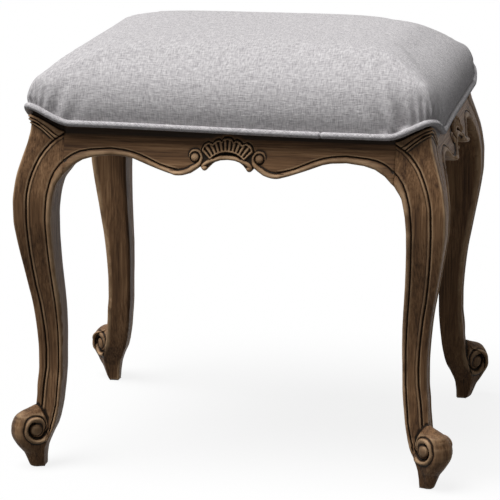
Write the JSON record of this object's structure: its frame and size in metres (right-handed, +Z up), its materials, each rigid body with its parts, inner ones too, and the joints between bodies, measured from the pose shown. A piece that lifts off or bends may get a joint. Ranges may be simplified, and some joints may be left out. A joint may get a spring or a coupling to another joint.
{
  "type": "vanity stool",
  "caption": "Upholstered dressing stool with a crowned linen seat on carved cabriole legs and serpentine rails.",
  "frame": {"origin": "on the floor, under the middle of the seat", "axes": "+Z up, +X to the right as seen from the front, and the front long rail faces -Y"},
  "size_m": [0.519, 0.4292, 0.5002],
  "materials": {
    "stained_wood": "mid-brown stain with dark glaze in the carving, rubbed satin",
    "plain_wood": "bare beech",
    "plywood": "bare plywood",
    "linen": "silver-grey plain-weave linen with slubs",
    "foam": "open-cell upholstery foam",
    "black_cloth": "thin black non-woven cloth",
    "steel": "zinc-plated steel screws"
  },
  "bodies": {
    "root": {"leg_front_left": "stained_wood", "leg_front_right": "stained_wood", "leg_back_left": "stained_wood", "leg_back_right": "stained_wood", "rail_front": "stained_wood", "rail_back": "stained_wood", "rail_left": "stained_wood", "rail_right": "stained_wood", "dowel_front_left_1": "plain_wood", "dowel_front_left_2": "plain_wood", "dowel_front_left_3": "plain_wood", "dowel_front_left_4": "plain_wood", "dowel_front_right_1": "plain_wood", "dowel_front_right_2": "plain_wood", "dowel_front_right_3": "plain_wood", "dowel_front_right_4": "plain_wood", "dowel_back_left_1": "plain_wood", "dowel_back_left_2": "plain_wood", "dowel_back_left_3": "plain_wood", "dowel_back_left_4": "plain_wood", "dowel_back_right_1": "plain_wood", "dowel_back_right_2": "plain_wood", "dowel_back_right_3": "plain_wood", "dowel_back_right_4": "plain_wood", "corner_block_front_left": "plain_wood", "corner_block_front_right": "plain_wood", "corner_block_back_left": "plain_wood", "corner_block_back_right": "plain_wood", "block_screw_front_left_1": "steel", "block_screw_front_left_2": "steel", "seat_screw_front_left": "steel", "block_screw_front_right_1": "steel", "block_screw_front_right_2": "steel", "seat_screw_front_right": "steel", "block_screw_back_left_1": "steel", "block_screw_back_left_2": "steel", "seat_screw_back_left": "steel", "block_screw_back_right_1": "steel", "block_screw_back_right_2": "steel", "seat_screw_back_right": "steel", "seat_board": "plywood", "dust_cover": "black_cloth", "seat_cover": "linen", "seat_foam": "foam", "piping": "linen"}
  },
  "joints": []
}
